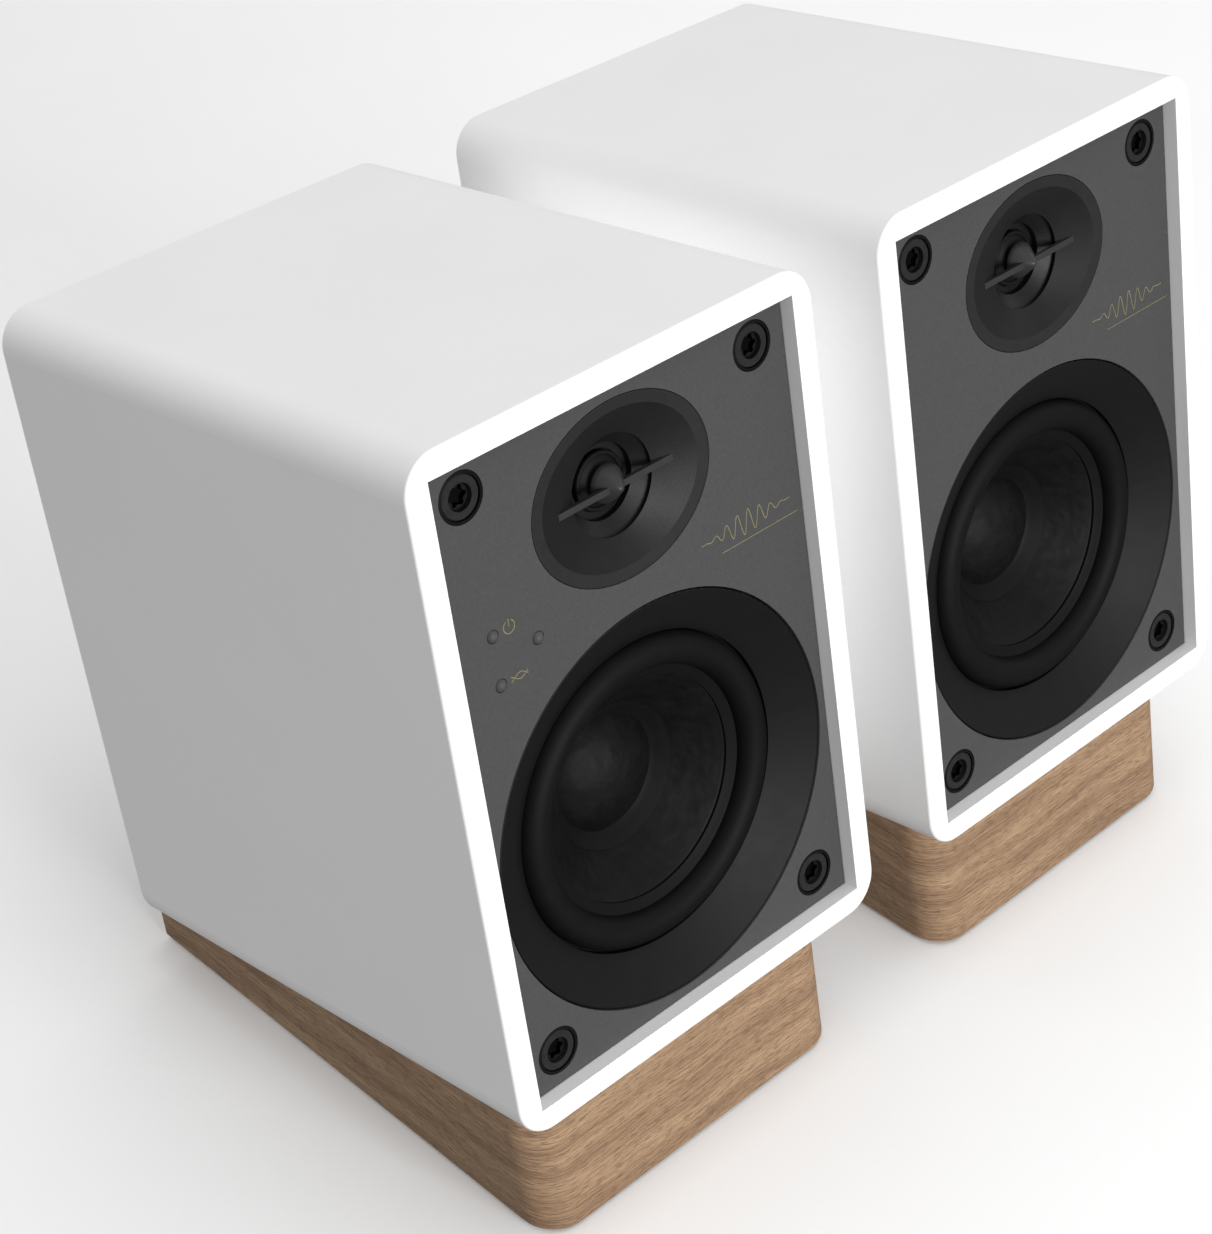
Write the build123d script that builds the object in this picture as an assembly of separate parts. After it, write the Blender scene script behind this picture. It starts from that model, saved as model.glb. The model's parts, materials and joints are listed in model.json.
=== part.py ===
from build123d import *
import math
import os

# A pair of two-way desktop speakers on wooden wedge stands.
# Each speaker is drawn upright in its own frame: x = 0 is its middle, y = 0 the front face of the
# sleeve, y grows towards the back, z = 0 the underside of the sleeve. It is then tipped back about X.
# All lengths are millimetres, all angles degrees.

# ---------------------------------------------------------------- driving dimensions
BOX_W = 122.0
BOX_H = 176.3
BOX_D = 152.4
BOX_EDGE_R = 9.5
BOX_LIP_R = 0.8
WALL = 6.35
TILT = 10.1
PAIR_PITCH = 145.0

BAFFLE_Y = 4.0
BAFFLE_T = 14.0
PANEL_FIT = 0.2
POST = 18.0
POST_D = 24.0
REAR_Y = 146.4
REAR_T = 4.0

STAND_SIDE = 9.4
STAND_FRONT = 10.0
STAND_LEN = 152.4
STAND_FRONT_H = 41.6
STAND_CORNER_R = 10.0
FOOT_R = 7.0
FOOT_T = 1.5
FOOT_SUNK = 0.5
FOOT_INSET = 14.0

SCREW_X = 44.1
SCREW_Z_IN = 15.6
CUP_R = 6.05
CUP_IN_R = 5.35
CUP_DEEP = 3.6
CUP_FLOOR_T = 0.5
HEAD_R = 5.2
HEAD_D = 0.25
DIMPLE_R = 3.25
DIMPLE_FOOT_R = 2.95
DIMPLE_D = 1.4
SOCKET_R = 2.0
SOCKET_D = 2.75
LOBE_R = 0.62
SHANK_R = 2.0
SHANK_LEN = 30.0
LOBES = 6
PILOT_R = 1.6
PILOT_DEEP = 16.0
REAR_SCREW_X = 46.5
REAR_SCREW_Z_IN = 14.5
REAR_HEAD_R = 3.2
REAR_HEAD_T = 1.9
REAR_SHANK_R = 1.5
REAR_SHANK_LEN = 14.0
SEATING = 0.02

WOOFER_Z = 61.15
RING_R = 52.0
RING_SUNK = 0.25
RING_EDGE_R = 0.5
RING_GAP = 0.25
RING_LIP_R = 40.4
RING_DISH = 6.3
RING_BACK = 7.6
RING_BODY_R = 50.0
RING_EDGE_T = 3.0
SEAT_R = 50.15
SEAT_D = 10.2
WOOFER_HOLE_R = 43.5
ROLL_R = 35.65
ROLL_OUT = 4.3
ROLL_IN = 3.5
ROLL_D = 7.9
CONE_OUT_R = 31.2
CONE_LINE_R = 28.6
CONE_LINE_D = 9.7
NECK_R = 13.15
NECK_D = 23.9
CONE_T = 0.7
CAP_R = 15.0
CAP_RISE = 5.5
CAP_SKIRT_R = 18.7
CAP_T = 0.5
FORMER_R = 12.55
COIL_R = 13.5
GAP_R = 14.0
POLE_R = 12.2
POLE_VENT_R = 4.0
PLATE_R = 27.0
MAGNET_R = 30.0
MAGNET_BORE_R = 16.0
TOP_PLATE_D = 33.0
MAGNET_D = 37.0
YOKE_D = 49.0
YOKE_T = 4.0
COIL_FRONT_D = 31.0
COIL_BACK_D = 38.5
FORMER_BACK_D = 39.0
FORMER_T = 0.25
SPIDER_OUT_R = 28.5
SPIDER_D = 27.1
SPIDER_RISE = 0.9
SPIDER_T = 0.4
SPIDER_WAVES = 6
FLANGE_OUT_R = 49.6
FLANGE_IN_R = 40.2
FRAME_T = 1.2
SHELF_D = 27.4
SHELF_R = 32.4
FRAME_FOOT_R = 26.6
BASKET_WINDOWS = 6
WOOFER_SCREW_R = 47.4
WOOFER_SHANK_R = 1.35
WOOFER_HEAD_R = 2.1
WOOFER_HEAD_T = 1.15

TWEETER_Z = 143.4
HORN_RX = 27.0
HORN_RZ = 21.8
RIM_RX = 23.7
RIM_RZ = 18.9
RIM_D = 0.3
THROAT_R = 12.2
THROAT_D = 3.4
LIP_T = 0.35
FUNNEL_R = 12.95
FUNNEL_TOP_D = 4.5
FUNNEL_FOOT_R = 9.2
FUNNEL_D = 6.9
TRENCH_D = 8.6
DOME_HOLE_R = 7.45
HORN_PLATE_T = 4.0
HORN_BOSS_R = 17.0
HORN_BOSS_D = 9.5
PLUG_R = 4.6
PLUG_D = 5.4
PLUG_MID_R = 2.4
PLUG_MID_D = 2.6
PLUG_TIP_D = 0.4
PLUG_TIP_R = 0.55
PLUG_TIP_BALL = 0.7
BLADE_D = 1.9
BLADE_HALF = 17.6
BLADE_FOOT_R = 13.6
BLADE_FOOT_D = 3.0
BLADE_T = 1.6
DOME_R = 6.0
DOME_EDGE_R = 7.2
DOME_ROLL_RISE = 0.55
DOME_T = 0.3
DOME_D = 7.7
DOME_RISE = 1.7
DOME_COIL_R = 6.2
DOME_COIL_D = 11.4
TWEETER_GAP_R = 6.7
TWEETER_CUP_R = 15.0
TWEETER_CUP_T = 2.5
TWEETER_PLATE_T = 2.2
TWEETER_BACK_D = 22.0
TWEETER_POLE_R = 5.65
TWEETER_MAGNET_R = 5.4

BUTTON_X = -42.15
BUTTON_Z = (126.1, 113.85)
LENS_X = -30.0
LENS_Z = 120.0
BUTTON_R = 1.5
BUTTON_HOLE_R = 1.65
BUTTON_PROUD = 0.9
BUTTON_FLANGE_R = 2.4
BUTTON_TRAVEL = 0.5
POCKET_D = 4.0
POCKET_X = (-48.0, -25.0)
POCKET_Z = (108.0, 132.0)

PORT_Z = 126.0
PORT_R = 15.0
PORT_WALL = 2.0
PORT_FRONT_Y = 98.0
PORT_MOUTH_R = 18.5
PORT_FLANGE_R = 21.5
PORT_FLANGE_T = 1.8

TERMINAL_Z = 35.0
TERMINAL_W = 44.0
TERMINAL_H = 22.0
TERMINAL_FLANGE_T = 2.0
TERMINAL_DEEP = 7.0
LEVER_X = 10.0
LEVER_W = 10.6
LEVER_H = 9.8
LEVER_T = 4.0
LEVER_PROUD = 1.0
LEVER_SIDE_GAP = 0.35
LEVER_PIN_R = 1.0
LEVER_PIN_LEN = 13.2
LEVER_FOOT = 1.8
LEVER_FOOT_GAP = 0.6
LEVER_SWING = 20.0
GRIP_DEEP = 0.35
GRIP_W = 0.6
GRIP_PITCH = 1.5
WIRE_HOLE_R = 1.7
WIRE_HOLE_UP = 6.6
WIRE_HOLE_DEEP = 5.5

KNOB_X = -28.0
CONTROL_Z = 80.0
KNOB_R = 8.0
KNOB_LEN = 12.0
KNOB_SHAFT_R = 3.0
PHONO_X = (3.0, 17.0)
PHONO_R = 4.15
PHONO_LEN = 8.0
PHONO_HOLE_R = 1.65
PHONO_COLLAR_T = 1.2
AUX_X = 31.0
AUX_HOLE_R = 1.8
POWER_X = 43.0
POWER_HOLE_R = 2.9
POWER_PIN_R = 1.0
AUX_SHELL_R = 3.1
POWER_SHELL_R = 4.2
SHELL_GAP = 0.2
SOCKET_HALF = 6.0
KNOB_GAP = 1.0
GRIPS = 20
GRIP_R = 0.9
BOARD_Y = 133.0
BOARD_T = 1.6
AMP_X = (-44.0, 50.0)
AMP_Z = (58.0, 98.0)
SINK_X = (-6.0, 34.0)
SINK_Z = (62.0, 94.0)
SINK_BASE_T = 5.0
FIN_LEN = 12.0
FIN_T = 2.2
FINS = 8
CAPACITOR_R = 6.0
CAPACITOR_LEN = 18.0
CAPACITOR_X = -30.0
CAPACITOR_Z = (68.0, 86.0)
NETWORK_X = (-30.0, 30.0)
NETWORK_Z = (60.0, 96.0)
CHOKE_R = 11.0
CHOKE_HOLE_R = 5.0
CHOKE_LEN = 12.0
CHOKE_X = -16.0
CHOKE_Z = 78.0
FILM_X = (2.0, 26.0)
FILM_Z = (70.0, 86.0)
FILM_HALF = 5.0
FILM_LEN = 10.0

# ---------------------------------------------------------------- values worked out
OPEN_W = BOX_W - 2 * WALL
OPEN_H = BOX_H - 2 * WALL
REAR_FACE = REAR_Y + REAR_T
STAND_BACK_H = STAND_FRONT_H - STAND_LEN * math.tan(math.radians(TILT))
GROUND = -STAND_FRONT * math.sin(math.radians(TILT)) - STAND_FRONT_H * math.cos(math.radians(TILT))
SHIFT_Z = FOOT_T - FOOT_SUNK - GROUND
TOP_BACK_Y = BOX_D * math.cos(math.radians(TILT)) + BOX_H * math.sin(math.radians(TILT))
FRONT_Y = BOX_LIP_R * (math.cos(math.radians(TILT)) + math.sin(math.radians(TILT)) - 1)
SHIFT_Y = -(FRONT_Y + TOP_BACK_Y) / 2
CAP_D = CONE_LINE_D + (CONE_LINE_R - CAP_R) * (NECK_D - CONE_LINE_D) / (CONE_LINE_R - NECK_R)
SKIRT_D = CONE_LINE_D + (CONE_LINE_R - CAP_SKIRT_R) * (NECK_D - CONE_LINE_D) / (CONE_LINE_R - NECK_R)
LEVER_PIVOT_Y = REAR_FACE + 0.6
LEVER_PIVOT_Z = TERMINAL_Z - 5.6
SIDES = {"left": -PAIR_PITCH / 2, "right": PAIR_PITCH / 2}


def place(shape, side):
    """Tip a shape of the upright speaker frame back and set it down on its side of the pair."""
    return Pos(SIDES[side], SHIFT_Y, SHIFT_Z) * Rot(-TILT, 0, 0) * shape


def block(x, y, z):
    """Box between two limits along each axis, each given as a pair."""
    size = (x[1] - x[0], y[1] - y[0], z[1] - z[0])
    middle = ((x[0] + x[1]) / 2, (y[0] + y[1]) / 2, (z[0] + z[1]) / 2)
    return Pos(*middle) * Box(*size)


def rod(radius, y, x=0.0, z=0.0):
    """Round bar along the depth, between two values of y."""
    return Pos(x, (y[0] + y[1]) / 2, z) * Rot(90, 0, 0) * Cylinder(radius, y[1] - y[0])


def turned(*edges):
    """Turn a closed outline of (radius, depth) about the depth axis."""
    return revolve(make_face(edges), Axis.Y, 360)


def turned_points(*points):
    """Turn a closed polygon of (radius, depth) about the depth axis."""
    return turned(*Polyline(*points, close=True).edges())


def crown_depth(ball, crown, radius):
    """Depth at a radius of a ball whose nearest point, on the axis, is at the depth crown."""
    return crown + ball - math.sqrt(ball**2 - radius**2)


def crown_arc(ball, crown, radius):
    """Arc of such a ball from the axis out to a radius."""
    middle = (radius / 2, crown_depth(ball, crown, radius / 2))
    return ThreePointArc((0, crown), middle, (radius, crown_depth(ball, crown, radius)))


def ball_radius(reach, rise):
    """Radius of the ball whose cap has a given base radius and height."""
    return (reach**2 + rise**2) / (2 * rise)


def driver(shape, z):
    """Move a driver piece, drawn with depth 0 at the baffle's face, to its axis."""
    return Pos(0, BAFFLE_Y, z) * shape


def corners(x, z_in):
    """The four places of a rectangle of fasteners, z_in above and below the ends of the box."""
    return [(sx * x, z) for sx in (-1, 1) for z in (z_in, BOX_H - z_in)]


def group(shapes):
    """Several separate solids in one node."""
    return Compound(children=[solid for shape in shapes for solid in shape.solids()])


# ---------------------------------------------------------------- box
def cabinet():
    """Sleeve with rounded long edges and eight corner posts that the boards are screwed to."""
    outline = Pos(0, 0, BOX_H / 2) * Rot(90, 0, 0) * RectangleRounded(BOX_W, BOX_H, BOX_EDGE_R)
    sleeve = extrude(outline, amount=BOX_D, dir=(0, 1, 0))
    sleeve = fillet(sleeve.faces().sort_by(Axis.Y)[0].edges(), BOX_LIP_R)
    sleeve -= block((-OPEN_W / 2, OPEN_W / 2), (-1, BOX_D + 1), (WALL, BOX_H - WALL))
    for x, z in corners(SCREW_X, SCREW_Z_IN):
        sleeve += post(x, z, BAFFLE_Y + BAFFLE_T, BAFFLE_Y + BAFFLE_T + POST_D)
        sleeve -= rod(SHANK_R + 0.1, (BAFFLE_Y + BAFFLE_T - 1, BAFFLE_Y + BAFFLE_T + POST_D - 2), x, z)
    for x, z in corners(REAR_SCREW_X, REAR_SCREW_Z_IN):
        sleeve += post(x, z, REAR_Y - POST_D, REAR_Y)
        sleeve -= rod(PILOT_R, (REAR_Y - PILOT_DEEP, REAR_Y + 1), x, z)
    return sleeve


def post(x, z, front, back):
    """Square post in the corner of the sleeve nearest to a point."""
    outer_x = math.copysign(OPEN_W / 2 + 0.5, x)
    inner_x = math.copysign(OPEN_W / 2 - POST, x)
    outer_z = WALL - 0.5 if z < BOX_H / 2 else BOX_H - WALL + 0.5
    inner_z = WALL + POST if z < BOX_H / 2 else BOX_H - WALL - POST
    return block(sorted((outer_x, inner_x)), (front, back), sorted((outer_z, inner_z)))


def board_plate(front, thick):
    """Flat board that fills the opening of the sleeve."""
    x = OPEN_W / 2 - PANEL_FIT
    return block((-x, x), (front, front + thick), (WALL + PANEL_FIT, BOX_H - WALL - PANEL_FIT))


def front_baffle(side):
    """Board with the seats of both drivers, the screw cups and, on the left, the controls."""
    plate = board_plate(BAFFLE_Y, BAFFLE_T)
    plate -= driver(rod(RING_R + RING_GAP, (-1, RING_EDGE_T + 0.1)), WOOFER_Z)
    plate -= driver(rod(SEAT_R, (-1, SEAT_D)), WOOFER_Z)
    plate -= driver(rod(WOOFER_HOLE_R, (0, BAFFLE_T + 1)), WOOFER_Z)
    for x, z in woofer_screw_places():
        plate -= driver(rod(WOOFER_SHANK_R + 0.1, (SEAT_D - 1, BAFFLE_T + 1), x, z), WOOFER_Z)
    plate -= driver(oval_prism(HORN_RX + 0.2, HORN_RZ + 0.2, -1, HORN_PLATE_T + 0.1), TWEETER_Z)
    plate -= driver(rod(HORN_BOSS_R + 0.2, (0, BAFFLE_T + 1)), TWEETER_Z)
    for x, z in corners(SCREW_X, SCREW_Z_IN):
        plate -= rod(CUP_R + 0.1, (BAFFLE_Y - 1, BAFFLE_Y + CUP_DEEP + 0.1), x, z)
        plate -= rod(SHANK_R + 0.3, (BAFFLE_Y, BAFFLE_Y + BAFFLE_T + 1), x, z)
    if side == "left":
        pocket_y = (BAFFLE_Y + POCKET_D, BAFFLE_Y + BAFFLE_T + 1)
        plate -= block(POCKET_X, pocket_y, POCKET_Z)
        for x, z in [(BUTTON_X, BUTTON_Z[0]), (BUTTON_X, BUTTON_Z[1]), (LENS_X, LENS_Z)]:
            plate -= rod(BUTTON_HOLE_R, (BAFFLE_Y - 1, BAFFLE_Y + POCKET_D + 1), x, z)
    return plate


def baffle_screw_cups():
    """Cup washers: a thin wall round the head and a floor with a hole."""
    floor = CUP_DEEP - CUP_FLOOR_T
    cup = turned_points((CUP_IN_R, 0), (CUP_R, 0.15), (CUP_R, CUP_DEEP), (SHANK_R + 0.3, CUP_DEEP),
                        (SHANK_R + 0.3, floor), (CUP_IN_R, floor))
    return group([Pos(x, BAFFLE_Y, z) * cup for x, z in corners(SCREW_X, SCREW_Z_IN)])


def baffle_screws():
    """Flat-headed wood screws with a six-lobe drive at the bottom of a conical dimple."""
    seat = CUP_DEEP - CUP_FLOOR_T - 0.1
    end = seat + SHANK_LEN
    screw = turned_points((0, HEAD_D), (HEAD_R - 0.25, HEAD_D), (HEAD_R, HEAD_D + 0.25), (HEAD_R, seat),
                          (SHANK_R, seat), (SHANK_R, end - 3), (0, end))
    screw -= turned_points((0, 0), (DIMPLE_R, 0), (DIMPLE_R, HEAD_D), (DIMPLE_FOOT_R, DIMPLE_D),
                           (0, DIMPLE_D))
    socket = Circle(SOCKET_R)
    for lobe in PolarLocations(SOCKET_R, LOBES):
        socket += lobe * Circle(LOBE_R)
    screw -= extrude(Rot(90, 0, 0) * socket, amount=SOCKET_D, dir=(0, 1, 0))
    return group([Pos(x, BAFFLE_Y, z) * screw for x, z in corners(SCREW_X, SCREW_Z_IN)])


def rear_panel(side):
    """Board that closes the back, pierced for the port, the terminals and the sockets."""
    plate = board_plate(REAR_Y, REAR_T)
    through = (REAR_Y - 1, REAR_FACE + 1)
    plate -= rod(PORT_R + PORT_WALL + 0.1, through, 0, PORT_Z)
    half_w = TERMINAL_W / 2 - 2
    half_h = TERMINAL_H / 2 - 1.5
    plate -= block((-half_w, half_w), through, (TERMINAL_Z - half_h, TERMINAL_Z + half_h))
    for x, z in corners(REAR_SCREW_X, REAR_SCREW_Z_IN):
        plate -= rod(REAR_SHANK_R + 0.3, through, x, z)
    if side == "left":
        plate -= rod(KNOB_SHAFT_R + 0.6, through, KNOB_X, CONTROL_Z)
        for x in PHONO_X:
            plate -= rod(PHONO_R + 0.25, through, x, CONTROL_Z)
        plate -= rod(AUX_SHELL_R + SHELL_GAP, through, AUX_X, CONTROL_Z)
        plate -= rod(POWER_SHELL_R + SHELL_GAP, through, POWER_X, CONTROL_Z)
    return plate


def rear_panel_screws():
    """Round-headed screws with a cross slot."""
    screw = rod(REAR_SHANK_R, (-REAR_SHANK_LEN, 0)) + rod(REAR_HEAD_R, (0, REAR_HEAD_T))
    screw = fillet(screw.edges().sort_by(Axis.Y)[-1], 1.2)
    for angle in (0, 90):
        screw -= Rot(0, angle, 0) * block((-2, 2), (REAR_HEAD_T - 1, REAR_HEAD_T + 1), (-0.4, 0.4))
    places = corners(REAR_SCREW_X, REAR_SCREW_Z_IN)
    return group([Pos(x, REAR_FACE + SEATING, z) * screw for x, z in places])


def port_tube():
    """Bass port: straight tube that flares into a flange on the rear panel."""
    face = REAR_FACE + PORT_FLANGE_T
    outer = PORT_R + PORT_WALL
    lines = Polyline((PORT_R, REAR_FACE - 8), (PORT_R, PORT_FRONT_Y), (outer, PORT_FRONT_Y),
                     (outer, REAR_FACE + SEATING), (PORT_FLANGE_R, REAR_FACE + SEATING),
                     (PORT_FLANGE_R, face - 0.6), (PORT_FLANGE_R - 0.6, face), (PORT_MOUTH_R, face))
    flare = ThreePointArc((PORT_MOUTH_R, face), (PORT_R + 0.85, REAR_FACE - 2.6), (PORT_R, REAR_FACE - 8))
    return Pos(0, 0, PORT_Z) * turned(*lines.edges(), flare)


# ---------------------------------------------------------------- stand
def wedge_stand():
    """Solid wooden wedge, level below and tipped above, with its two front corners rounded."""
    back = STAND_FRONT + STAND_LEN
    side_view = Plane.YZ * make_face(Polyline((STAND_FRONT, 0), (back, 0), (back, -STAND_BACK_H),
                                              (STAND_FRONT, -STAND_FRONT_H), close=True).edges())
    half = BOX_W / 2 - STAND_SIDE
    wedge = Pos(-half, 0, 0) * extrude(side_view, amount=2 * half, dir=(1, 0, 0))
    front = wedge.edges().filter_by(Axis.Z).group_by(Axis.Y)[0]
    wedge = fillet(front, STAND_CORNER_R)
    for spot in foot_places():
        wedge -= spot * Cylinder(FOOT_R + 0.2, 2 * FOOT_SUNK)
    return wedge


def foot_places():
    """Places on the sloping underside of the wedge, in the upright speaker's frame."""
    half = BOX_W / 2 - STAND_SIDE - FOOT_INSET
    slope = math.tan(math.radians(TILT))
    spots = []
    for along in (FOOT_INSET, STAND_LEN - FOOT_INSET):
        z = -STAND_FRONT_H + along * slope
        spots += [Pos(x, STAND_FRONT + along, z) * Rot(TILT, 0, 0) for x in (-half, half)]
    return spots


def stand_feet():
    """Rubber pads let into the underside."""
    pad = Cylinder(FOOT_R, FOOT_T)
    pad = fillet(pad.edges().sort_by(Axis.Z)[0], 0.4)
    return group([spot * Pos(0, 0, FOOT_SUNK - FOOT_T / 2) * pad for spot in foot_places()])


# ---------------------------------------------------------------- woofer
def woofer_trim_ring():
    """Ring with a rounded edge, dished from just below the baffle's face down to the surround."""
    start = RING_R - RING_EDGE_R
    turn_d = RING_SUNK + RING_EDGE_R
    near = RING_EDGE_R * math.sqrt(0.5)
    edge = ThreePointArc((RING_R, turn_d), (start + near, turn_d - near), (start, RING_SUNK))
    lines = Polyline((start, RING_SUNK), (RING_LIP_R, RING_DISH), (RING_LIP_R, RING_BACK),
                     (RING_BODY_R, RING_BACK), (RING_BODY_R, RING_EDGE_T), (RING_R, RING_EDGE_T),
                     (RING_R, turn_d))
    return driver(turned(edge, *lines.edges()), WOOFER_Z)


def woofer_surround():
    """Rubber half roll between an outer flange on the basket and an inner one on the cone."""
    out_front = ROLL_R + ROLL_OUT
    in_front = ROLL_R - ROLL_OUT
    out_back = ROLL_R + ROLL_IN
    in_back = ROLL_R - ROLL_IN
    flange_back = ROLL_D + 0.9
    front_roll = ThreePointArc((out_front, ROLL_D), (ROLL_R, ROLL_D - ROLL_OUT), (in_front, ROLL_D))
    inner = Polyline((in_front, ROLL_D), (CONE_LINE_R + 0.1, CONE_LINE_D - 0.9),
                     (CONE_LINE_R + 0.1, CONE_LINE_D - 0.2), (in_back - 0.25, ROLL_D + 0.7),
                     (in_back, ROLL_D))
    back_roll = ThreePointArc((in_back, ROLL_D), (ROLL_R, ROLL_D - ROLL_IN), (out_back, ROLL_D))
    outer = Polyline((out_back, ROLL_D), (out_back, flange_back), (45.0, flange_back), (45.0, ROLL_D),
                     (out_front, ROLL_D))
    return driver(turned(front_roll, *inner.edges(), back_roll, *outer.edges()), WOOFER_Z)


def woofer_cone():
    """Cone with a shallow outer lip under the surround and a short neck round the coil former."""
    edge_d = CONE_LINE_D - 0.75
    cone = turned_points((CONE_OUT_R, edge_d), (CONE_LINE_R, CONE_LINE_D), (NECK_R, NECK_D),
                         (NECK_R, NECK_D + 1.6), (NECK_R + CONE_T, NECK_D + 1.6),
                         (NECK_R + CONE_T, NECK_D + 0.4), (CONE_LINE_R + 0.2, CONE_LINE_D + 0.9),
                         (CONE_OUT_R, edge_d + CONE_T))
    return driver(cone, WOOFER_Z)


def woofer_dust_cap():
    """Domed cap with a conical glue skirt that lies on the cone."""
    rim = CAP_D - CAP_T - 0.1
    crown = rim - CAP_RISE
    ball = ball_radius(CAP_R, CAP_RISE)
    skirt = Polyline((CAP_R, rim), (CAP_SKIRT_R, SKIRT_D - CAP_T - 0.1), (CAP_SKIRT_R, SKIRT_D - 0.1),
                     (CAP_R, rim + CAP_T))
    axis = Line((0, crown + CAP_T), (0, crown))
    outside = crown_arc(ball, crown, CAP_R)
    inside = crown_arc(ball, crown + CAP_T, CAP_R)
    return driver(turned(outside, *skirt.edges(), inside, axis), WOOFER_Z)


def woofer_voice_coil():
    """Paper former with the winding near its rear end."""
    front = NECK_D - 1
    out_r = FORMER_R + FORMER_T
    coil = turned_points((FORMER_R, front), (FORMER_R, FORMER_BACK_D), (out_r, FORMER_BACK_D),
                         (out_r, COIL_BACK_D), (COIL_R, COIL_BACK_D), (COIL_R, COIL_FRONT_D),
                         (out_r, COIL_FRONT_D), (out_r, front))
    return driver(coil, WOOFER_Z)


def woofer_spider():
    """Corrugated centring disc from the coil former to the shelf of the basket."""
    inner = FORMER_R + FORMER_T + 0.1
    folds = 2 * SPIDER_WAVES
    step = (SPIDER_OUT_R - inner) / folds
    rise = [SPIDER_D - SPIDER_RISE * (k % 2) for k in range(folds + 1)]
    front = [(inner + k * step, rise[k] - SPIDER_T) for k in range(folds + 1)]
    back = [(inner + k * step, rise[k]) for k in reversed(range(folds + 1))]
    return driver(turned_points(*front, *back), WOOFER_Z)


def woofer_basket():
    """Pressed frame: mounting flange, conical wall with windows, spider shelf and motor seat."""
    flange = SEAT_D - 0.1
    shelf_back = SHELF_D + 1.5
    seat = TOP_PLATE_D - 0.05
    inner_foot = FRAME_FOOT_R - FRAME_T
    frame = turned_points((FLANGE_OUT_R, flange - FRAME_T), (FLANGE_OUT_R, flange), (42.8, flange),
                          (SHELF_R, shelf_back), (FRAME_FOOT_R, shelf_back), (FRAME_FOOT_R, seat),
                          (MAGNET_BORE_R, seat), (MAGNET_BORE_R, TOP_PLATE_D - FRAME_T),
                          (inner_foot, TOP_PLATE_D - FRAME_T), (inner_foot, SHELF_D),
                          (SHELF_R - 0.8, SHELF_D), (41.2, flange), (FLANGE_IN_R, flange),
                          (FLANGE_IN_R, flange - FRAME_T))
    for k in range(BASKET_WINDOWS):
        frame -= Rot(0, k * 360 / BASKET_WINDOWS, 0) * block((29, 46), (12.5, 25.5), (-11, 11))
    for x, z in woofer_screw_places():
        frame -= rod(WOOFER_SHANK_R + 0.25, (flange - 2, flange + 1), x, z)
    return driver(frame, WOOFER_Z)


def woofer_screw_places():
    """Four screws round the basket's flange, measured from the woofer's axis."""
    reach = WOOFER_SCREW_R * math.cos(math.radians(45))
    return [(sx * reach, sz * reach) for sx in (-1, 1) for sz in (-1, 1)]


def woofer_screws():
    """Low-headed screws that hold the basket to the baffle, hidden by the trim ring."""
    seat = SEAT_D - 0.1 - FRAME_T
    top = seat - WOOFER_HEAD_T
    screw = turned_points((0, top), (WOOFER_HEAD_R, top), (WOOFER_HEAD_R, seat), (WOOFER_SHANK_R, seat),
                          (WOOFER_SHANK_R, 17), (0, 19))
    screw -= Pos(0, top, 0) * Rot(90, 0, 0) * Cylinder(0.9, 1.2)
    return group([driver(Pos(x, 0, z) * screw, WOOFER_Z) for x, z in woofer_screw_places()])


def woofer_pole_plates():
    """Steel top plate, and the yoke with its vented pole."""
    top = turned_points((GAP_R, TOP_PLATE_D), (PLATE_R, TOP_PLATE_D), (PLATE_R, MAGNET_D),
                        (GAP_R, MAGNET_D))
    yoke = turned_points((POLE_VENT_R, TOP_PLATE_D), (POLE_R, TOP_PLATE_D), (POLE_R, YOKE_D),
                         (PLATE_R, YOKE_D), (PLATE_R, YOKE_D + YOKE_T), (POLE_VENT_R, YOKE_D + YOKE_T))
    return group([driver(top, WOOFER_Z), driver(yoke, WOOFER_Z)])


def woofer_magnet():
    """Ferrite ring between the two plates."""
    ring = turned_points((MAGNET_BORE_R, MAGNET_D + 0.05), (MAGNET_R, MAGNET_D + 0.05),
                         (MAGNET_R, YOKE_D - 0.05), (MAGNET_BORE_R, YOKE_D - 0.05))
    return driver(ring, WOOFER_Z)


# ---------------------------------------------------------------- tweeter
def oval(rx, rz, depth):
    """Upright oval face at a depth, its normal along the depth."""
    return Pos(0, depth, 0) * Rot(90, 0, 0) * Ellipse(rx, rz)


def oval_prism(rx, rz, front, back):
    """Straight oval bar between two depths."""
    return extrude(oval(rx, rz, front), amount=back - front, dir=(0, 1, 0))


def tweeter_waveguide():
    """Oval plate: nearly flat rim, dished horn whose lip overhangs a funnel, trench round the dome."""
    plate = oval_prism(HORN_RX, HORN_RZ, 0, HORN_PLATE_T) + rod(HORN_BOSS_R, (HORN_PLATE_T - 1, HORN_BOSS_D))
    rim = loft([oval(HORN_RX - 0.4, HORN_RZ - 0.4, 0), oval(RIM_RX, RIM_RZ, RIM_D)], ruled=True)
    horn = loft([oval(RIM_RX, RIM_RZ, RIM_D), oval(THROAT_R, THROAT_R, THROAT_D)], ruled=True)
    plate -= rim
    plate -= horn
    under = THROAT_D + LIP_T
    plate -= turned_points((0, THROAT_D - 0.5), (THROAT_R, THROAT_D - 0.5), (THROAT_R, under),
                           (FUNNEL_R, under + 0.15), (FUNNEL_R, FUNNEL_TOP_D),
                           (FUNNEL_FOOT_R, FUNNEL_D), (FUNNEL_FOOT_R, TRENCH_D),
                           (DOME_HOLE_R, TRENCH_D), (DOME_HOLE_R, HORN_BOSS_D + 1), (0, HORN_BOSS_D + 1))
    return driver(plate, TWEETER_Z)


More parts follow.
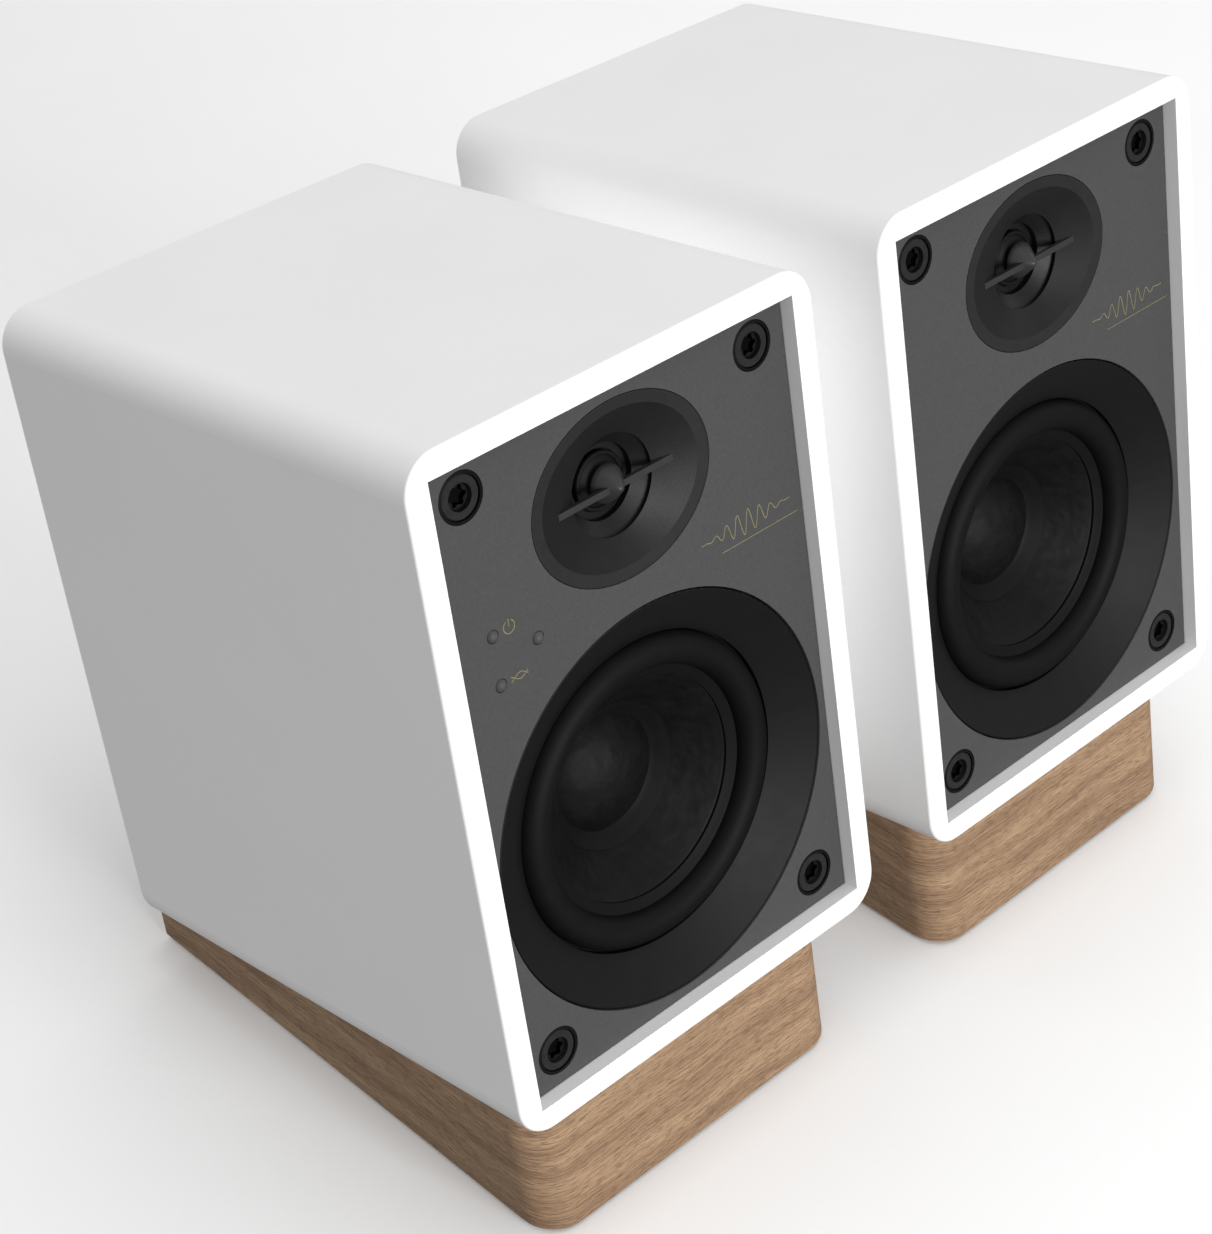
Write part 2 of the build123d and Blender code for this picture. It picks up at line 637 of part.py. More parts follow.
def tweeter_phase_plug():
    """Pointed plug over the dome's middle, held by a blade that lies in the horn."""
    tip = crown_arc(PLUG_TIP_BALL, PLUG_TIP_D, PLUG_TIP_R)
    flank = ThreePointArc((PLUG_R, PLUG_D), (PLUG_MID_R, PLUG_MID_D), tip @ 1)
    back = Polyline((0, PLUG_TIP_D), (0, PLUG_D), (PLUG_R, PLUG_D))
    plug = turned(flank, tip, *back.edges())
    outline = Polyline((-BLADE_HALF, BLADE_D), (BLADE_HALF, BLADE_D), (BLADE_FOOT_R, BLADE_FOOT_D),
                       (-BLADE_FOOT_R, BLADE_FOOT_D), close=True)
    blade = Pos(0, 0, -BLADE_T / 2) * extrude(make_face(outline.edges()), amount=BLADE_T, dir=(0, 0, 1))
    return driver(plug + blade, TWEETER_Z)


def tweeter_dome():
    """Dome and its roll with the coil former behind."""
    ball = ball_radius(DOME_R, DOME_RISE)
    crown = DOME_D - DOME_RISE
    back = DOME_D + DOME_T
    outside = crown_arc(ball, crown, DOME_R)
    middle = (DOME_R + DOME_EDGE_R) / 2
    roll = ThreePointArc((DOME_R, DOME_D), (middle, DOME_D - DOME_ROLL_RISE), (DOME_EDGE_R, DOME_D))
    former_r = DOME_COIL_R - 0.25
    inside = crown_arc(ball, crown + DOME_T, former_r)
    edge = Polyline((DOME_EDGE_R, DOME_D), (DOME_EDGE_R, back), (DOME_COIL_R, back),
                    (DOME_COIL_R, DOME_COIL_D), (former_r, DOME_COIL_D), inside @ 1)
    axis = Line((0, crown + DOME_T), (0, crown))
    return driver(turned(outside, roll, *edge.edges(), inside, axis), TWEETER_Z)


def tweeter_motor():
    """Steel cup with an inward top plate, and inside it the magnet and its pole plate."""
    front = HORN_BOSS_D + 0.1
    plate_back = front + TWEETER_PLATE_T
    floor = TWEETER_BACK_D - 2
    wall = TWEETER_CUP_R - TWEETER_CUP_T
    cup = turned_points((TWEETER_GAP_R, front), (TWEETER_CUP_R, front), (TWEETER_CUP_R, TWEETER_BACK_D),
                        (0, TWEETER_BACK_D), (0, floor), (wall, floor), (wall, plate_back),
                        (TWEETER_GAP_R, plate_back))
    pole = rod(TWEETER_POLE_R, (front, plate_back + 0.4))
    magnet = rod(TWEETER_MAGNET_R, (plate_back + 0.45, floor - 0.05))
    return group([driver(piece, TWEETER_Z) for piece in (cup, pole, magnet)])


# ---------------------------------------------------------------- controls of the left speaker
def button(z):
    """Small domed push button with a flange behind the baffle's thin wall."""
    stem = rod(BUTTON_R, (0, POCKET_D + 0.5))
    flange = rod(BUTTON_FLANGE_R, (POCKET_D + 0.2, POCKET_D + 1.4))
    return Pos(BUTTON_X, BAFFLE_Y, z) * (stem + flange + dome_tip())


def dome_tip():
    """Rounded tip that stands proud of the baffle."""
    arc = crown_arc(ball_radius(BUTTON_R, BUTTON_PROUD), -BUTTON_PROUD, BUTTON_R)
    back = Polyline((BUTTON_R, 0), (BUTTON_R, 0.5), (0, 0.5), (0, -BUTTON_PROUD))
    return turned(arc, *back.edges())


def remote_lens():
    """Domed lens over the remote receiver, of the buttons' size, glued in place."""
    stem = rod(BUTTON_R, (0, POCKET_D + 0.5))
    flange = rod(BUTTON_FLANGE_R, (POCKET_D + 0.02, POCKET_D + 1.4))
    return Pos(LENS_X, BAFFLE_Y, LENS_Z) * (stem + flange + dome_tip())


def control_board():
    """Small board across the pocket with a switch under each button and the receiver."""
    front = BAFFLE_Y + POCKET_D + 4.6
    switch_front = BAFFLE_Y + POCKET_D + 1.6 + BUTTON_TRAVEL
    fit = 0.3
    x = (POCKET_X[0] + fit, POCKET_X[1] - fit)
    board = block(x, (front, front + 1.2), (POCKET_Z[0] + fit, POCKET_Z[1] - fit))
    for z in BUTTON_Z:
        switch_x = (BUTTON_X - 2.2, BUTTON_X + 2.2)
        board += block(switch_x, (switch_front, front + 0.1), (z - 2.2, z + 2.2))
    receiver_x = (LENS_X - 2.5, LENS_X + 2.5)
    board += block(receiver_x, (front - 2.8, front + 0.1), (LENS_Z - 2.5, LENS_Z + 2.5))
    return board


def volume_knob():
    """Knob with shallow grips and its shaft, which turns in the volume control on the board."""
    near = REAR_FACE + KNOB_GAP
    far = near + KNOB_LEN
    knob = rod(KNOB_R, (near, far))
    knob = chamfer(knob.edges().sort_by(Axis.Y)[-1], 0.8)
    for spot in PolarLocations(KNOB_R + 0.55, GRIPS):
        knob -= rod(GRIP_R, (near + 2.5, far + 1), spot.position.X, spot.position.Y)
    knob -= block((-0.4, 0.4), (far - 0.6, far + 1), (3, KNOB_R))
    shaft = rod(KNOB_SHAFT_R, (BOARD_Y + BOARD_T + 3, near + 2))
    return Pos(KNOB_X, 0, CONTROL_Z) * (knob + shaft)


def around(middle, half):
    """Limits the same distance to both sides of a middle."""
    return (middle - half, middle + half)


def amplifier_board():
    """Main board with a finned heat sink, two capacitors and the body of the volume control."""
    board = block(AMP_X, (BOARD_Y, BOARD_Y + BOARD_T), AMP_Z)
    sink = BOARD_Y - SINK_BASE_T
    board += block(SINK_X, (sink, BOARD_Y + 0.1), SINK_Z)
    for k in range(FINS):
        x = SINK_X[0] + k * (SINK_X[1] - SINK_X[0]) / FINS
        board += block((x, x + FIN_T), (sink - FIN_LEN, sink + 1), SINK_Z)
    for z in CAPACITOR_Z:
        board += rod(CAPACITOR_R, (BOARD_Y - CAPACITOR_LEN, BOARD_Y + 0.1), CAPACITOR_X, z)
    back = BOARD_Y + BOARD_T
    body = (around(KNOB_X, SOCKET_HALF), around(CONTROL_Z, SOCKET_HALF))
    board += block(body[0], (back - 0.1, REAR_Y - 0.3), body[1])
    board -= rod(KNOB_SHAFT_R + 0.05, (back + 2.5, REAR_Y), KNOB_X, CONTROL_Z)
    return board


def input_jacks():
    """Two phono jacks, a small round jack and the power socket, each on its own body."""
    depth = (BOARD_Y + BOARD_T + 0.05, REAR_Y - 0.3)
    jacks = []
    for x in PHONO_X:
        body = block(around(x, SOCKET_HALF - 0.5), depth, around(CONTROL_Z, SOCKET_HALF))
        shell = rod(PHONO_R, (REAR_Y - 1, REAR_FACE + PHONO_LEN), x, CONTROL_Z)
        collar = rod(PHONO_R + 1.3, (REAR_FACE + 0.05, REAR_FACE + PHONO_COLLAR_T), x, CONTROL_Z)
        socket = rod(PHONO_HOLE_R, (REAR_FACE - 1, REAR_FACE + PHONO_LEN + 1), x, CONTROL_Z)
        jacks.append(body + shell + collar - socket)
    aux = block(around(AUX_X, SOCKET_HALF - 1.5), depth, around(CONTROL_Z, SOCKET_HALF - 1))
    aux += rod(AUX_SHELL_R, (REAR_Y - 1, REAR_FACE + 1), AUX_X, CONTROL_Z)
    aux -= rod(AUX_HOLE_R, (REAR_FACE - 12, REAR_FACE + 2), AUX_X, CONTROL_Z)
    power = block(around(POWER_X, SOCKET_HALF - 1), depth, around(CONTROL_Z, SOCKET_HALF))
    power += rod(POWER_SHELL_R, (REAR_Y - 1, REAR_FACE + 1), POWER_X, CONTROL_Z)
    power -= rod(POWER_HOLE_R, (REAR_FACE - 10, REAR_FACE + 2), POWER_X, CONTROL_Z)
    power += rod(POWER_PIN_R, (REAR_FACE - 11, REAR_FACE), POWER_X, CONTROL_Z)
    return group([*jacks, aux, power])


def crossover_board():
    """Passive network: board with an air coil and two film capacitors."""
    board = block(NETWORK_X, (BOARD_Y, BOARD_Y + BOARD_T), NETWORK_Z)
    choke = rod(CHOKE_R, (BOARD_Y - CHOKE_LEN, BOARD_Y + 0.1), CHOKE_X, CHOKE_Z)
    board += choke - rod(CHOKE_HOLE_R, (BOARD_Y - CHOKE_LEN - 1, BOARD_Y), CHOKE_X, CHOKE_Z)
    for z in FILM_Z:
        board += block(FILM_X, (BOARD_Y - FILM_LEN, BOARD_Y + 0.1), around(z, FILM_HALF))
    return board


# ---------------------------------------------------------------- terminals
def terminal_block():
    """Spring-clip housing: flange on the rear panel, a pocket for each lever and wire holes above."""
    back = REAR_FACE + TERMINAL_FLANGE_T
    half = TERMINAL_W / 2
    low = TERMINAL_Z - TERMINAL_H / 2
    high = TERMINAL_Z + TERMINAL_H / 2
    body = block((-half, half), (REAR_FACE + SEATING, back), (low, high))
    body = fillet(body.edges().filter_by(Axis.Y), 2.0)
    inner_x = half - 2.2
    body += block((-inner_x, inner_x), (back - TERMINAL_DEEP, REAR_FACE + 1), (low + 1.7, high - 1.7))
    sweep = (LEVER_H - LEVER_FOOT) * math.sin(math.radians(LEVER_SWING)) + 0.3
    floor = back + LEVER_PROUD - LEVER_T - sweep
    for x in (-LEVER_X, LEVER_X):
        gap = LEVER_W / 2 + LEVER_SIDE_GAP
        foot = LEVER_PIVOT_Z - LEVER_FOOT - LEVER_FOOT_GAP
        body -= block((x - gap, x + gap), (floor, back + 1), (foot, foot + LEVER_H + 1.4))
        pin = Rot(0, 90, 0) * Cylinder(LEVER_PIN_R + 0.05, LEVER_PIN_LEN + 0.8)
        body -= Pos(x, LEVER_PIVOT_Y, LEVER_PIVOT_Z) * pin
        body -= rod(WIRE_HOLE_R, (back - WIRE_HOLE_DEEP, back + 1), x, TERMINAL_Z + WIRE_HOLE_UP)
    return body


def terminal_lever(x):
    """Lever that is pressed in at the top and turns on its two stub pins."""
    back = REAR_FACE + TERMINAL_FLANGE_T + LEVER_PROUD
    foot = LEVER_PIVOT_Z - LEVER_FOOT
    half = LEVER_W / 2
    lever = block((x - half, x + half), (back - LEVER_T, back), (foot, foot + LEVER_H))
    lever = fillet(lever.edges().filter_by(Axis.X), 0.6)
    for k in range(3):
        z = foot + LEVER_H - 2.4 - GRIP_PITCH * k
        lever -= block((x - half - 1, x + half + 1), (back - GRIP_DEEP, back + 1), (z, z + GRIP_W))
    pin = Rot(0, 90, 0) * Cylinder(LEVER_PIN_R, LEVER_PIN_LEN)
    return lever + Pos(x, LEVER_PIVOT_Y, LEVER_PIVOT_Z) * pin


# ---------------------------------------------------------------- assembly
def speaker(side):
    """All pieces of one speaker by name, still upright."""
    pieces = {
        "cabinet": cabinet(),
        "front_baffle": front_baffle(side),
        "baffle_screw_cups": baffle_screw_cups(),
        "baffle_screws": baffle_screws(),
        "tweeter_waveguide": tweeter_waveguide(),
        "tweeter_phase_plug": tweeter_phase_plug(),
        "tweeter_dome": tweeter_dome(),
        "tweeter_motor": tweeter_motor(),
        "woofer_trim_ring": woofer_trim_ring(),
        "woofer_surround": woofer_surround(),
        "woofer_cone": woofer_cone(),
        "woofer_dust_cap": woofer_dust_cap(),
        "woofer_voice_coil": woofer_voice_coil(),
        "woofer_spider": woofer_spider(),
        "woofer_basket": woofer_basket(),
        "woofer_magnet": woofer_magnet(),
        "woofer_pole_plates": woofer_pole_plates(),
        "woofer_screws": woofer_screws(),
        "rear_panel": rear_panel(side),
        "rear_panel_screws": rear_panel_screws(),
        "port_tube": port_tube(),
        "wedge_stand": wedge_stand(),
        "stand_feet": stand_feet(),
        "terminal_block": terminal_block(),
        "lever_red": terminal_lever(-LEVER_X),
        "lever_black": terminal_lever(LEVER_X),
    }
    if side == "left":
        pieces["power_button"] = button(BUTTON_Z[0])
        pieces["mode_button"] = button(BUTTON_Z[1])
        pieces["remote_lens"] = remote_lens()
        pieces["control_board"] = control_board()
        pieces["amplifier_board"] = amplifier_board()
        pieces["input_jacks"] = input_jacks()
        pieces["volume_knob"] = volume_knob()
    else:
        pieces["crossover_board"] = crossover_board()
    return pieces


def main():
    """Write one file for each piece of both speakers."""
    os.makedirs("parts", exist_ok=True)
    for side in SIDES:
        for name, shape in speaker(side).items():
            export_step(place(shape, side), f"parts/{side}_{name}.step")


main()
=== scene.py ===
import json
import math

import bmesh
import bpy
from mathutils import Matrix, Quaternion, Vector, noise


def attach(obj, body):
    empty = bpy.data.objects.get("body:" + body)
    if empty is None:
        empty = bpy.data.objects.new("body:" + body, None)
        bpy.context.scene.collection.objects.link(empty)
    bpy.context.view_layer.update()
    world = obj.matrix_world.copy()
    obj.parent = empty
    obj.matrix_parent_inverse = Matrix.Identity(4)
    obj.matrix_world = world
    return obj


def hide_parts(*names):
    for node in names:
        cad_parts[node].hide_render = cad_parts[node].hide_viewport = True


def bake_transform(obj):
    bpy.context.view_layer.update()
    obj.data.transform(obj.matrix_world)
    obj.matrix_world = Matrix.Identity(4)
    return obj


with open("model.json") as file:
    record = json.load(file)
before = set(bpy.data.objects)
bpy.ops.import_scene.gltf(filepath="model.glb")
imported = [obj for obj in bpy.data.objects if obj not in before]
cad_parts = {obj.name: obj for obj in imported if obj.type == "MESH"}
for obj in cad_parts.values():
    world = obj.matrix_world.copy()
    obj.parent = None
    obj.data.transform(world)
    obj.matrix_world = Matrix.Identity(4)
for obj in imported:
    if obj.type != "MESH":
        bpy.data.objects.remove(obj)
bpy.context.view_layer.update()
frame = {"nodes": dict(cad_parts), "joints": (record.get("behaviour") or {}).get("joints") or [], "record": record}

# A pair of two-way desktop speakers on wooden wedge stands.
# Each speaker has its own upright axes, in millimetres: x to the right from its middle, y back from
# its front face, z up from its underside. SPEAKER[side] takes them to the frame's metres.
# The places of drivers, screws and sockets are read from the frame; an outline adds its own sizes.

MM = 0.001
SIDES = ("left", "right")
NODES = frame["nodes"]
JOINTS = {joint["name"]: joint for joint in frame["joints"]}

RIGHT = Vector((1, 0, 0))
BACK = -Vector(JOINTS["left_woofer_travel"]["axis"])
RISE = RIGHT.cross(BACK)
AXES = Matrix((RIGHT, BACK, RISE)).transposed().to_4x4()


def reach(node, own):
    """Lowest and highest corner of a node along the axes of a frame."""
    points = [own @ vertex.co for vertex in NODES[node].data.vertices]
    low = Vector([min(point[k] for point in points) for k in range(3)])
    high = Vector([max(point[k] for point in points) for k in range(3)])
    return low, high


def speaker_frame(side):
    """Matrix from the upright axes of one speaker, in millimetres, to the frame."""
    low, high = reach(f"{side}_cabinet", AXES.inverted())
    corner = AXES @ Vector(((low.x + high.x) / 2, low.y, low.z))
    return Matrix.Translation(corner) @ AXES @ Matrix.Scale(MM, 4)


SPEAKER = {side: speaker_frame(side) for side in SIDES}


def part_box(side, part):
    """Lowest and highest corner of a part in its speaker's upright axes."""
    return reach(f"{side}_{part}", SPEAKER[side].inverted())


# ---------------------------------------------------------------- mesh tools
CREASE = math.radians(38)


def add_piece(name, mesh, place, finish, body=None, stands_for=()):
    """Turn a bmesh into a piece of the model, in the frame, with its finish and its body."""
    bmesh.ops.recalc_face_normals(mesh, faces=mesh.faces)
    data = bpy.data.meshes.new(name)
    mesh.to_mesh(data)
    mesh.free()
    data.transform(place)
    data.shade_smooth()
    data.set_sharp_from_angle(angle=CREASE)
    data.materials.append(finish)
    thing = bpy.data.objects.new(name, data)
    bpy.context.scene.collection.objects.link(thing)
    if body:
        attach(thing, body)
    if stands_for:
        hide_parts(*stands_for)
    return thing


def arc(middle, radius, start, end, steps):
    """Points of a circular arc between two angles in degrees."""
    turn = [math.radians(start + (end - start) * k / steps) for k in range(steps + 1)]
    return [(middle[0] + radius * math.cos(a), middle[1] + radius * math.sin(a)) for a in turn]


def divided(start, end, steps):
    """Points of a straight line, without its end."""
    return [tuple(a + (b - a) * k / steps for a, b in zip(start, end)) for k in range(steps)]


def lathe(outline, turns):
    """Skin made by turning a closed outline of (radius, depth) about the depth axis."""
    mesh = bmesh.new()
    rings = []
    for radius, depth in outline:
        if radius < 1e-6:
            rings.append([mesh.verts.new((0, depth, 0))] * turns)
            continue
        angles = [2 * math.pi * k / turns for k in range(turns)]
        rings.append([mesh.verts.new((radius * math.cos(a), depth, radius * math.sin(a))) for a in angles])
    for ring, after in zip(rings, rings[1:] + rings[:1]):
        for k in range(turns):
            n = (k + 1) % turns
            corners = list(dict.fromkeys((ring[k], ring[n], after[n], after[k])))
            if len(corners) > 2:
                mesh.faces.new(corners)
    return mesh


def dent(mesh, inner, outer, front_of, size, height, seed):
    """Press shallow lumps into the front skin between two radii, fading out at both."""
    for vertex in mesh.verts:
        radius = math.hypot(vertex.co.x, vertex.co.z)
        if not inner < radius < outer or vertex.co.y > front_of(radius):
            continue
        fade = min(1, (radius - inner) / 1.5, (outer - radius) / 1.5)
        spot = Vector((vertex.co.x / size + seed, vertex.co.z / size, seed))
        lump = noise.turbulence(spot, 3, True) - 0.75
        vertex.co.y += height * fade * lump


# ---------------------------------------------------------------- materials
def add_node(tree, kind, sockets=None, **settings):
    """New shader node; a socket is given a value or the output that feeds it."""
    made = tree.nodes.new("ShaderNode" + kind)
    for key, value in settings.items():
        setattr(made, key, value)
    for key, value in (sockets or {}).items():
        if isinstance(value, bpy.types.NodeSocket):
            tree.links.new(value, made.inputs[key])
        else:
            made.inputs[key].default_value = value
    return made


def new_finish(name, **constants):
    """Empty finish with constant values on its shader."""
    finish = bpy.data.materials.new(name)
    finish.use_nodes = True
    shader = finish.node_tree.nodes["Principled BSDF"]
    for key, value in constants.items():
        shader.inputs[key.replace("_", " ")].default_value = value
    return finish, finish.node_tree, shader


def noise_at(tree, where, size, detail=4.0, spread=(0.3, 0.7)):
    """Noise with features of a size in millimetres, stretched to run from 0 to 1."""
    made = add_node(tree, "TexNoise", {"Vector": where, "Scale": 1 / (size * MM), "Detail": detail})
    return add_node(tree, "MapRange", {"Value": made.outputs["Fac"], "From Min": spread[0],
                                       "From Max": spread[1]}).outputs["Result"]


def blend_colours(tree, share, dark, light):
    """Colour between two, by a share from 0 to 1."""
    mix = add_node(tree, "Mix", data_type="RGBA")
    tree.links.new(share, mix.inputs["Factor"])
    for key, colour in ((6, dark), (7, light)):
        if isinstance(colour, bpy.types.NodeSocket):
            tree.links.new(colour, mix.inputs[key])
        else:
            mix.inputs[key].default_value = (*colour, 1)
    return mix.outputs[2]


def bumped(tree, shader, height, depth, normal=None):
    """Relief of a depth in millimetres on the shader's normal."""
    bump = add_node(tree, "Bump", {"Height": height, "Distance": depth * MM, "Strength": 1.0})
    if normal:
        tree.links.new(normal, bump.inputs["Normal"])
    tree.links.new(bump.outputs["Normal"], shader.inputs["Normal"])
    return bump.outputs["Normal"]


def speckled(name, dark, light, patch, rough, grain, depth, **constants):
    """Finish with soft patches of colour, uneven gloss and a fine relief, sizes in millimetres."""
    finish, tree, shader = new_finish(name, **constants)
    where = add_node(tree, "TexCoord").outputs["Object"]
    patches = noise_at(tree, where, patch)
    fine = noise_at(tree, where, grain, 3.0)
    share = add_node(tree, "Mix", {0: 0.35, 2: patches, 3: fine}).outputs[0]
    tree.links.new(blend_colours(tree, share, dark, light), shader.inputs["Base Color"])
    gloss = add_node(tree, "MapRange", {"Value": share, "To Min": rough[0], "To Max": rough[1]})
    tree.links.new(gloss.outputs["Result"], shader.inputs["Roughness"])
    bumped(tree, shader, fine, depth)
    return finish


def wood_finish():
    """Oiled walnut veneer: long soft streaks, fine lines and short open pores along the grain."""
    finish, tree, shader = new_finish("walnut", Specular_IOR_Level=0.2)
    where = add_node(tree, "UVMap", uv_map="veneer").outputs["UV"]
    warp = add_node(tree, "TexNoise", {"Vector": where, "Scale": 22.0, "Detail": 2.0})
    drift = add_node(tree, "VectorMath", {0: warp.outputs["Color"], "Scale": 0.006}, operation="SCALE")
    bent = add_node(tree, "VectorMath", {0: where, 1: drift.outputs[0]}, operation="ADD").outputs[0]

    def along(length, width):
        """Grain coordinates with a feature length and width in millimetres."""
        scale = (1 / (length * MM), 1 / (width * MM), 1)
        return add_node(tree, "VectorMath", {0: bent, 1: scale}, operation="MULTIPLY").outputs[0]

    def grain(length, width, detail, low, high):
        """Noise drawn out along the grain, from 0 to 1."""
        made = add_node(tree, "TexNoise", {"Vector": along(length, width), "Scale": 1.0, "Detail": detail})
        return add_node(tree, "MapRange", {"Value": made.outputs["Fac"], "From Min": low,
                                           "From Max": high}).outputs["Result"]

    streaks = grain(70, 5, 3.0, 0.38, 0.62)
    lines = grain(18, 0.6, 4.0, 0.34, 0.66)
    pores = grain(3.6, 0.3, 2.0, 0.53, 0.64)
    base = blend_colours(tree, streaks, (0.235, 0.142, 0.084), (0.455, 0.3, 0.183))
    fine = blend_colours(tree, lines, (0.22, 0.135, 0.08), (0.475, 0.315, 0.195))
    body = add_node(tree, "Mix", {0: 0.5, 6: base, 7: fine}, data_type="RGBA").outputs[2]
    part = add_node(tree, "Math", {0: pores, 1: 0.6}, operation="MULTIPLY").outputs[0]
    colour = blend_colours(tree, part, body, (0.15, 0.085, 0.048))
    tree.links.new(colour, shader.inputs["Base Color"])
    gloss = add_node(tree, "MapRange", {"Value": lines, "To Min": 0.62, "To Max": 0.48})
    tree.links.new(gloss.outputs["Result"], shader.inputs["Roughness"])
    relief = bumped(tree, shader, lines, 0.03)
    sunk = add_node(tree, "Math", {0: 1.0, 1: pores}, operation="SUBTRACT").outputs[0]
    bumped(tree, shader, sunk, 0.06, relief)
    return finish


BOARD_T = 1.6


def board_finish():
    """Circuit board: green board behind, dark parts with bright edges in front of it."""
    finish, tree, shader = new_finish("circuit_board", Metallic=0.0)
    where = add_node(tree, "TexCoord").outputs["Object"]
    tracks = add_node(tree, "TexVoronoi", {"Vector": where, "Scale": 420.0}, distance="CHEBYCHEV")
    share = add_node(tree, "MapRange", {"Value": tracks.outputs["Distance"], "From Min": 0.25,
                                        "From Max": 0.3}).outputs["Result"]
    green = blend_colours(tree, share, (0.03, 0.13, 0.06), (0.012, 0.07, 0.035))
    fine = noise_at(tree, where, 1.2)
    parts = blend_colours(tree, fine, (0.03, 0.03, 0.032), (0.09, 0.09, 0.095))
    _, high = part_box("right", "crossover_board")
    face = high.y - BOARD_T
    depth = add_node(tree, "VectorMath", {0: where, 1: BACK}, operation="DOT_PRODUCT").outputs["Value"]
    plane = (SPEAKER["left"] @ Vector((0, face, 0))).dot(BACK)
    on_board = add_node(tree, "Math", {0: depth, 1: plane - 0.05 * MM}, operation="GREATER_THAN").outputs[0]
    tree.links.new(blend_colours(tree, on_board, parts, green), shader.inputs["Base Color"])
    gloss = add_node(tree, "MapRange", {"Value": fine, "To Min": 0.35, "To Max": 0.6})
    tree.links.new(gloss.outputs["Result"], shader.inputs["Roughness"])
    bumped(tree, shader, share, 0.03)
    return finish


def grey(value, warm=0.0):
    """Neutral colour, a little warmer where asked."""
    return (value * (1 + warm), value, value * (1 - warm))


FINISHES = {
    "white_lacquer": speckled("white_lacquer", grey(0.865), grey(0.885), 40, (0.38, 0.46), 1.6, 0.006,
                              Specular_IOR_Level=0.4),
    "grey_lacquer": speckled("grey_lacquer", grey(0.054), grey(0.067), 0.9, (0.6, 0.72), 0.45, 0.02,
                             Specular_IOR_Level=0.2),
    "black_oxide": speckled("black_oxide", grey(0.012), grey(0.019), 1.4, (0.38, 0.5), 0.5, 0.008,
                            Specular_IOR_Level=0.2),
    "black_plastic": speckled("black_plastic", grey(0.0035), grey(0.005), 5, (0.5, 0.56), 0.5, 0.006,
                              Specular_IOR_Level=0.16),
    "dome_fabric": speckled("dome_fabric", grey(0.004), grey(0.009), 0.5, (0.5, 0.62), 0.35, 0.02,
                            Specular_IOR_Level=0.12),
    "plated_steel": speckled("plated_steel", grey(0.5, 0.02), grey(0.62, 0.02), 6, (0.28, 0.42), 0.4, 0.005,
                             Metallic=1.0),
    "black_rubber": speckled("black_rubber", grey(0.0025), grey(0.004), 4, (0.56, 0.62), 0.6, 0.006,
                             Specular_IOR_Level=0.11),
    "cone_pulp": speckled("cone_pulp", grey(0.0025), grey(0.0065), 5, (0.5, 0.62), 1.2, 0.02,
                          Specular_IOR_Level=0.12),
    "copper_winding": speckled("copper_winding", (0.5, 0.2, 0.09), (0.72, 0.34, 0.18), 3, (0.25, 0.4), 0.3,
                               0.04, Metallic=1.0),
    "spider_cloth": speckled("spider_cloth", (0.42, 0.29, 0.1), (0.58, 0.42, 0.18), 2, (0.6, 0.8), 0.4, 0.05),
    "pressed_frame": speckled("pressed_frame", grey(0.02), grey(0.03), 3, (0.4, 0.55), 0.7, 0.01),
    "ferrite": speckled("ferrite", grey(0.06), grey(0.1), 2, (0.55, 0.75), 0.5, 0.03),
    "rear_black": speckled("rear_black", grey(0.02), grey(0.03), 1.4, (0.5, 0.66), 0.5, 0.02),
    "walnut": wood_finish(),
    "red_plastic": speckled("red_plastic", (0.5, 0.018, 0.014), (0.62, 0.03, 0.022), 3, (0.25, 0.36), 0.5,
                            0.005),
    "grey_button": speckled("grey_button", grey(0.054), grey(0.067), 1.2, (0.5, 0.6), 0.4, 0.006,
                            Specular_IOR_Level=0.25),
    "circuit_board": board_finish(),
    "jack_metal": speckled("jack_metal", grey(0.68, 0.01), grey(0.8, 0.01), 2, (0.16, 0.28), 0.4, 0.004,
                           Metallic=1.0),
}
PLUG_PLASTIC = speckled("plug_plastic", grey(0.021), grey(0.026), 3, (0.4, 0.48), 0.5, 0.006,
                        Specular_IOR_Level=0.4)
GLUE = speckled("cap_glue", grey(0.0045), grey(0.007), 3, (0.5, 0.6), 0.8, 0.01, Specular_IOR_Level=0.12)
# Painted shade for the screws' recesses: darker copies of the screw's black, one for the dimple and a darker one
# for its socket.
DIMPLE_PAINTED_SHADE = speckled("dimple_painted_shade", grey(0.004), grey(0.007), 1, (0.5, 0.6), 0.3, 0.006,
                        Specular_IOR_Level=0.12)
SOCKET_PAINTED_SHADE = speckled("socket_painted_shade", grey(0.001), grey(0.002), 1, (0.6, 0.7), 0.3, 0.006,
                        Specular_IOR_Level=0.05)
CUP_PLASTIC = speckled("cup_plastic", grey(0.003), grey(0.005), 2, (0.5, 0.6), 0.5, 0.006,
                       Specular_IOR_Level=0.08)
# One plastic in a shaded and a lit copy: painted shade in the tweeter's horn, painted light on its flat rim.
HORN_PAINTED_SHADE = speckled("horn_painted_shade", grey(0.004), grey(0.0055), 4, (0.42, 0.5), 0.5, 0.01,
                        Specular_IOR_Level=0.26)
RIM_PAINTED_LIGHT = speckled("rim_painted_light", grey(0.013), grey(0.016), 4, (0.46, 0.54), 0.5, 0.01,
                       Specular_IOR_Level=0.24)
PRINT_WHITE = speckled("print_white", grey(0.5), grey(0.58), 1.5, (0.5, 0.6), 0.4, 0.006)
PHONO_RED = speckled("phono_red", (0.42, 0.02, 0.016), (0.52, 0.03, 0.022), 1.0, (0.3, 0.4), 0.4, 0.006)
PHONO_WHITE = speckled("phono_white", grey(0.68), grey(0.76), 1.0, (0.3, 0.4), 0.4, 0.006)
